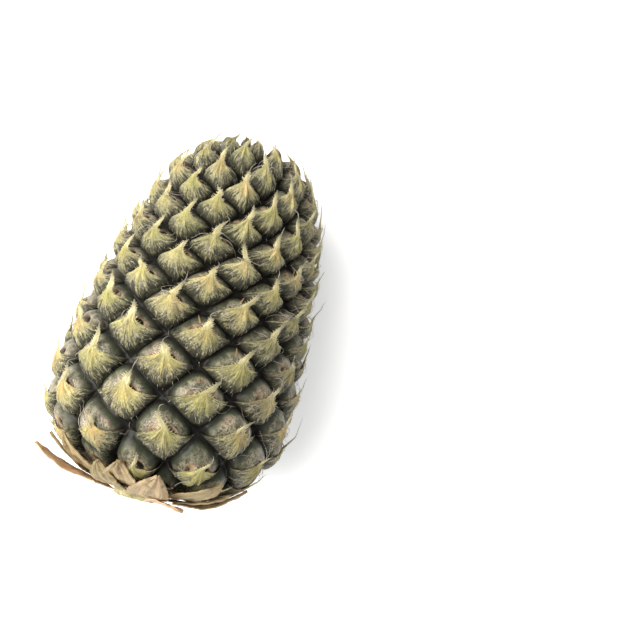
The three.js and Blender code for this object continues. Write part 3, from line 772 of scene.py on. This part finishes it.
def makeLeaf(k, finish):
    n = basal["firstEye"] + 1 - k
    layer = (k - 1) // basal["inLayer"]
    bend, twist, length = looseLeaves.get(k, (0, 0, basal["length"] + basal["lengthSpread"] * spread(n, 5)))
    halfAngle = basal["halfAngle"] + basal["angleSpread"] * spread(n, 6)
    angle = spiral["phase"] - spiral["step"] * n
    t = np.linspace(0, 1, basal["rows"] + 1)[:, None]
    w = np.linspace(-1, 1, basal["columns"] + 1)
    slope, step = bend * t * t, length / basal["rows"]
    arc = basal["rootArc"] + step * np.cumsum(np.cos(slope), 0)
    height = basal["innerHeight"] + layer * basal["layerStep"] + step * np.cumsum(np.sin(slope), 0)
    if not bend:
        height = height - basal["hug"] * layer * smooth(t, 0.4, 1)
    radius = onFruit(arc, 0.0, height)[..., 2]

    # The blade narrows to a point, its edges are sawn, and its face is pleated along and crinkled.
    narrowing = 1 - np.clip((t - basal["taperFrom"]) / (1 - basal["taperFrom"]), 0, 1) ** basal["taperPower"]
    half = mix(basal["tipHalf"], halfAngle * radius, narrowing)
    saw = basal["tooth"] * ((t * length / basal["toothPitch"]) % 1) * smooth(t, 0.15, 0.3)
    width = w * (half + saw * (0.3 + 0.7 * narrowing) * np.abs(w) ** 8)
    pleats = basal["pleats"] * np.cos(w * 9 + 3 * chance(n, 62))
    pleats = pleats + basal["wave"] * np.sin(6 * t + 3 * w + k) * w * w
    turned = twist * t * t
    lift = basal["edgeLift"] * w * w * narrowing + width * np.sin(turned) + pleats * smooth(t, 0.1, 0.4)
    grid = onFruit(arc, angle + width * np.cos(turned) / radius, height + lift)
    normal = np.cross(np.gradient(grid, axis=1), np.gradient(grid, axis=0))
    normal /= np.linalg.norm(normal, axis=-1, keepdims=True)
    grid = grid + normal * basal["crinkle"] * ripple(grid, 5, k)[..., None] * smooth(t, 0.1, 0.3)[..., None]
    points = np.stack([grid + normal * basal["thickness"] / 2, grid - normal * basal["thickness"] / 2])
    marks = {"tone": leafTone.get(k, chance(n, 61) * 0.62), "draw": chance(n, 63)}
    faces, uv = closedShells(t, w, 1)
    node = f"basal_leaf_{k:02d}"
    makePiece(f"basalLeaf{k:02d}", points, faces, finish, [node], uv, marks, 60)


def rindFinish():  # slate with a pale band on each dome's upper side that is partly waxy bloom and partly painted sheen, painted light on the left flank, mealy scurf, pink patches, and painted shade that blackens the pits and furrows
    wires, close = newFinish("slateRind", 0.6, Specular_IOR_Level=0.2, Coat_Roughness=0.3)
    lift, pit, draw = wires.mark("lift"), wires.mark("pit"), wires.mark("draw")
    side, up = wires.grain()
    patches, blotches = wires.speckle(150, 3), wires.speckle(420, 3)
    scurf, grit = wires.speckle(1500, 4, 0.7), wires.speckle(2600, 2)
    low = 1 - wires.mark("crown")
    colour = blotches.colours(
        (0.36, (0.024, 0.024, 0.013)), (0.5, (0.056, 0.055, 0.03)), (0.64, (0.135, 0.126, 0.075))
    )
    # A pale band on the upper side of each dome: partly the waxy bloom of the rind, partly painted sheen.
    bloomAndSheen = up.ramp(0.6, 0.85) * lift.ramp(0.45, 0.85) * (0.15 + blotches.ramp(0.35, 0.65) * 0.7)
    colour = bloomAndSheen.blend(colour, (0.17, 0.175, 0.11))
    pink = patches.ramp(0.5, 0.62) * draw.ramp(0.35, 0.8) * lift.ramp(0.4, 0.85)
    colour = (pink * 0.5).blend(colour, (0.25, 0.135, 0.095))
    mealy = scurf.ramp(0.42, 0.58) * lift.ramp(0.56, 0.84) * (1 - up.ramp(0.74, 0.94))
    mealy = mealy * (0.3 + patches.ramp(0.4, 0.6))
    colour = (mealy * (0.36 + low * 0.32)).blend(colour, (0.42, 0.37, 0.26))
    sleek = low * (1 - lift.ramp(0.52, 0.7)) * up.ramp(0.42, 0.6)  # smooth green shoulders of the lower eyes
    colour = (sleek * 0.8).blend(colour, (0.036, 0.044, 0.024))
    # Painted light: the rind on the eyes of the left flank, the side the lamp lights, is made paler.
    pale = wires.mark("litFlank") * (0.3 + blotches.ramp(0.4, 0.6) * 0.5)
    colour = pale.blend(colour, (0.32, 0.275, 0.195))
    rim = pit.ramp(0.02, 0.14) * (1 - pit.ramp(0.2, 0.4)) * (0.35 + blotches.ramp(0.4, 0.55) * 0.5)
    colour = rim.blend(colour, (0.33, 0.2, 0.11))
    # Painted shade: the hollows of the pits darken to near black.
    colour = (pit.ramp(0.12, 0.5) * 0.92).blend(colour, (0.012, 0.01, 0.007))
    # Painted shade: the low sides of each dome darken to black down in the furrows.
    colour = lift.ramp(0.06, 0.7).blend((0.006, 0.005, 0.003), colour)
    grains = scurf.ramp(0.5, 0.66) * lift.ramp(0.1, 0.4) * (1 - pit.ramp(0.1, 0.4))
    colour = (grains * (0.45 - low * 0.3) * (1 - sleek)).blend(colour, (0.3, 0.275, 0.175))
    rough = 0.95 - lift.ramp(0.3, 0.8) * (0.5 - scurf.ramp(0.4, 0.6) * 0.3)
    coat = (lift.ramp(0.5, 0.9) * (1 - mealy) + sleek * 0.6) * 0.6
    return close(colour, scurf * 0.7 + grit * 0.3, 0.0005, 0.7, rough, coat)


def heartColour(wires, colour, heart, draw):  # yellow hearts of bracts, some orange and others green
    blotches = wires.speckle(90, 2)
    warm = draw.ramp(0.35, 0.75) * blotches.ramp(0.35, 0.6)
    colour = heart.blend(colour, warm.blend((0.78, 0.65, 0.15), (0.8, 0.41, 0.1)))
    green = (1 - draw.ramp(0.2, 0.5)) * blotches.ramp(0.35, 0.6)
    return (green * 0.3).blend(colour, (0.32, 0.33, 0.08))


def bractFinish():  # grey-green at the foot, olive flanks, a yellow heart and a cream spine, with painted shade in the gaps between fibres, at the ragged foot and on the low parts
    wires, close = newFinish("fibrousBract", 0.66, Specular_IOR_Level=0.25)
    across, along = wires.grain()
    draw, crown, lift = wires.mark("draw"), wires.mark("crown"), wires.mark("lift")
    patches, motes = wires.speckle(300, 3), wires.speckle(1500, 3, 0.7)
    side = across + patches * 0.12
    broad = wires.streaks(side, 6, along, 1.5, draw * 50)
    fine = wires.streaks(side, 34, along, 3.5, draw * 90)
    hairs = wires.streaks(side, 96, along, 8, draw * 130, 2)
    ridge = broad * 0.42 + fine * 0.34 + hairs * 0.24
    centre = 1 - (across * 2 - 1).math("ABSOLUTE")
    near = along.ramp(0.02, 0.58) * (0.25 + centre.ramp(0.15, 0.95) * 0.75)
    # The streaks are the fibre grain; the darkest stops of this ramp are painted shade in the gaps between
    # the ridges.
    shade = near * 0.58 + (ridge - 0.5) * 1.7 + (motes - 0.5) * 0.8 + crown * 0.04 + (draw - 0.5) * 0.14 + 0.3
    colour = shade.colours(
        (0.05, (0.026, 0.023, 0.016)), (0.22, (0.09, 0.08, 0.055)), (0.4, (0.19, 0.173, 0.095)),
        (0.6, (0.4, 0.36, 0.16)), (0.85, (0.8, 0.73, 0.4)),
    )
    heart = centre.ramp(0.2, 0.85) * along.ramp(0.15, 0.5) * (1 - along.ramp(0.62, 0.86))
    heart = heart * ridge.ramp(0.4, 0.52)
    colour = heartColour(wires, colour, heart * (1 - crown * 0.35), draw)
    wing = (1 - centre.ramp(0.1, 0.6)) * (1 - crown) * (1 - along.ramp(0.4, 0.6))
    wing = wing * (0.4 + ridge.ramp(0.4, 0.6) * 0.6)
    colour = (wing * 0.65).blend(colour, (0.28, 0.27, 0.145))
    pink = (1 - centre.ramp(0.15, 0.6)) * patches.ramp(0.44, 0.58) * (1 - crown) * (1 - along.ramp(0.4, 0.6))
    colour = (pink * 0.55).blend(colour, (0.42, 0.3, 0.22))
    olive = (0.4 + crown * 0.45) * patches.ramp(0.4, 0.58) * (1 - along.ramp(0.5, 0.7))
    olive = olive * along.ramp(0.1, 0.35)
    colour = (olive * 0.5).blend(colour, (0.26, 0.25, 0.07))
    brown = wires.mark("dry") * patches.ramp(0.38, 0.56) * (1 - along.ramp(0.6, 0.8))
    colour = (brown * 0.4).blend(colour, (0.19, 0.145, 0.085))
    pale = hairs.ramp(0.48, 0.6) * motes.ramp(0.38, 0.56) * (1 - along.ramp(0.35, 0.6))
    pale = pale * along.ramp(0.02, 0.15)
    colour = (pale * (0.6 + crown * 0.25)).blend(colour, (0.5, 0.46, 0.31))
    crest = centre.ramp(0.72, 0.96) * along.ramp(0.22, 0.5) * fine.ramp(0.4, 0.52)
    colour = (crest * 0.7).blend(colour, (0.92, 0.86, 0.52))
    spine = (fine * 0.5 + hairs * 0.5).colours(
        (0.39, (0.22, 0.16, 0.07)), (0.47, (0.66, 0.56, 0.25)), (0.57, (0.98, 0.93, 0.62))
    )
    colour = along.ramp(0.46, 0.74).blend(colour, spine)
    margin = (1 - centre.ramp(0.1, 0.5)) * along.ramp(0.55, 0.7) * hairs.ramp(0.42, 0.56)
    colour = (margin * 0.6).blend(colour, (0.27, 0.21, 0.12))
    colour = (along.ramp(0.76, 0.98) * 0.8).blend(colour, (0.24, 0.21, 0.16))
    # Painted shade: the ragged foot of each bract fades to near black where it tucks down to the dome.
    footShade = 1 - (along + (fine - 0.5) * 0.9 + (hairs - 0.5) * 0.5 + (patches - 0.5) * 0.5).ramp(0.03, 0.22)
    colour = (footShade * 0.95).blend(colour, (0.042, 0.041, 0.028))
    # Painted shade: the low parts of each bract, close to the dome and the furrows, darken towards black.
    sunk = (1 - lift.ramp(0.02, 0.6)) * (0.5 + crown * 0.45) * (1 - along.ramp(0.4, 0.6))
    colour = sunk.blend(colour, (0.008, 0.008, 0.005))
    return close(colour, ridge * 0.75 + motes * 0.25, 0.0021, 0.95)


def hairFinish(name, dark, pale, marks=()):  # fibres in two shades, with the colours of the heart if marked
    wires, close = newFinish(name, 0.6)
    marks = [wires.mark(mark) for mark in marks]
    patches = wires.speckle(420, 2)
    colour = patches.ramp(0.35, 0.65).blend(dark, pale)
    if marks:
        colour = heartColour(wires, colour, marks[0].ramp(0.1, 0.8) * 0.7, marks[1])
    return close(colour, patches, 0.0001, 0.2)


def sepalFinish():  # orange-brown tips, tan to pinkish lobes
    wires, close = newFinish("drySepal", 0.65)
    side, along = wires.grain()
    draw = wires.mark("draw")
    veins = wires.streaks(side, 9, along, 2, draw * 60)
    colour = draw.colours(
        (0.0, (0.29, 0.14, 0.055)), (0.4, (0.42, 0.27, 0.12)),
        (0.6, (0.25, 0.15, 0.1)), (1.0, (0.18, 0.145, 0.085)),
    )
    colour = (veins.ramp(0.5, 0.62) * 0.4).blend(colour, (0.55, 0.44, 0.28))
    colour = ((1 - veins.ramp(0.36, 0.46)) * 0.7).blend(colour, (0.1, 0.07, 0.045))
    return close(colour, veins, 0.0006, 0.8)


def leafFinish():  # dry blades from olive over cream to orange-tan, veined along and stained in patches
    wires, close = newFinish("dryLeaf", 0.68)
    side, along = wires.grain()
    tone, draw = wires.mark("tone"), wires.mark("draw")
    fresh = tone.ramp(0.62, 0.75)  # the loose leaves are lighter and less stained
    patches = wires.speckle(170, 4)
    veins = wires.streaks(side, 30, along, 3, draw * 70)
    colour = (tone + (patches - 0.5) * 0.7).colours(
        (0.0, (0.3, 0.28, 0.075)), (0.25, (0.44, 0.36, 0.15)), (0.5, (0.68, 0.52, 0.28)),
        (0.75, (0.74, 0.48, 0.33)), (1.0, (0.82, 0.53, 0.3)),
    )
    colour = (veins.ramp(0.52, 0.66) * 0.5).blend(colour, (0.7, 0.6, 0.39))
    colour = ((1 - veins.ramp(0.34, 0.45)) * (0.75 - fresh * 0.45)).blend(colour, (0.17, 0.11, 0.06))
    stain = (1 - patches.ramp(0.36, 0.46)) * (0.7 - fresh * 0.55)
    colour = stain.blend(colour, (0.12, 0.08, 0.045))
    edge = (side * 2 - 1).math("ABSOLUTE") + (patches - 0.5) * 0.6
    worn = (edge.ramp(0.8, 1.1) * 0.5).math("MAXIMUM", (along + (patches - 0.5) * 0.5).ramp(0.84, 1.04) * 0.7)
    colour = (worn * (1 - fresh * 0.6)).blend(colour, (0.24, 0.155, 0.08))
    return close(colour, veins * 0.7 + patches * 0.3, 0.0008, 0.9)


def cutFinish(name, dark, middle, pale):  # torn fibre ends: pale with dark flecks
    wires, close = newFinish(name, 0.78)
    flecks, patches = wires.speckle(1100, 4, 0.7), wires.speckle(190, 3)
    colour = patches.colours((0.35, dark), (0.5, middle), (0.65, pale))
    colour = ((1 - flecks.ramp(0.38, 0.5)) * 0.7).blend(colour, tuple(0.35 * value for value in dark))
    return close(colour, flecks, 0.0006, 0.9)


makeRind(rindFinish())
makeBracts(bractFinish())
makeStrands(hairFinish("strands", (0.17, 0.155, 0.09), (0.54, 0.49, 0.31), ("heart", "draw")))
makeFringe(hairFinish("fringe", (0.2, 0.19, 0.13), (0.6, 0.57, 0.43)))
makeThreads(hairFinish("threads", (0.22, 0.2, 0.16), (0.48, 0.44, 0.36)))
makeWisps(hairFinish("wisps", (0.16, 0.14, 0.11), (0.52, 0.47, 0.37)))
makeRoots(hairFinish("rootFibres", (0.3, 0.22, 0.12), (0.62, 0.52, 0.32)))
makeTeeth(hairFinish("teeth", (0.5, 0.42, 0.22), (0.86, 0.8, 0.54)))
makeSepals(sepalFinish())
cutStem = cutFinish("cutStem", (0.3, 0.27, 0.12), (0.5, 0.44, 0.23), (0.62, 0.55, 0.36))
makeTurned("cutStem", stem, cutStem, ["cut_stem"])
tornScar = cutFinish("crownScar", (0.16, 0.1, 0.05), (0.38, 0.28, 0.15), (0.56, 0.46, 0.28))
makeTurned("crownScar", scar, tornScar)
dryLeaf = leafFinish()
for k in range(1, basal["count"] + 1):
    makeLeaf(k, dryLeaf)

# A white table, an even sky and one broad lamp from the upper left of the view.
studio = {
    "table": 0.93, "tableReach": 6, "glow": 0.27, "sky": 0.68, "lamp": 27.5, "lampSize": 1.15,
    "lampWay": (-0.78, 0.42, 1.08), "lampAway": 1.0, "lampAim": (0, 0, 0.04),
    "skyColour": (0.97, 0.985, 1, 1), "lampColour": (1, 0.975, 0.93),
}


def makeStudio():
    reach = studio["tableReach"]
    mesh = bpy.data.meshes.new("table")
    corners = [(-reach, -reach, 0), (reach, -reach, 0), (reach, reach, 0), (-reach, reach, 0)]
    mesh.from_pydata(corners, [], [(0, 1, 2, 3)])
    glow = {"Emission_Color": (1, 1, 1, 1), "Emission_Strength": studio["glow"]}
    wires, close = newFinish("table", 0.9, Specular_IOR_Level=0.1, **glow)
    mottle = wires.speckle(3, 2)
    pale = (studio["table"],) * 3
    mesh.materials.append(close(mottle.blend(pale, tuple(v + 0.01 for v in pale)), mottle, 0.0001, 0.1))
    addObject("table", mesh)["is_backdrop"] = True

    world = bpy.data.worlds.new("sky")
    world.use_nodes = True
    background = world.node_tree.nodes["Background"]
    background.inputs["Color"].default_value = studio["skyColour"]
    background.inputs["Strength"].default_value = studio["sky"]
    bpy.context.scene.world = world

    lamp = addObject("lamp", bpy.data.lights.new("lamp", "AREA"))
    lamp.data.energy, lamp.data.size = studio["lamp"], studio["lampSize"]
    lamp.data.color = studio["lampColour"]
    way = cameraAxes @ np.array(studio["lampWay"])
    way /= np.linalg.norm(way)
    lamp.location = np.array(studio["lampAim"]) + way * studio["lampAway"]
    lamp.rotation_euler = Vector(way).to_track_quat("Z", "Y").to_euler()
    bpy.context.scene.view_settings.view_transform = "Standard"


makeStudio()
visualBox = [list(corner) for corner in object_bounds()]
growth = np.array(visualBox) - np.array(cadBox)
print("size: past the solids by", np.round(growth * 1000, 2), "mm")
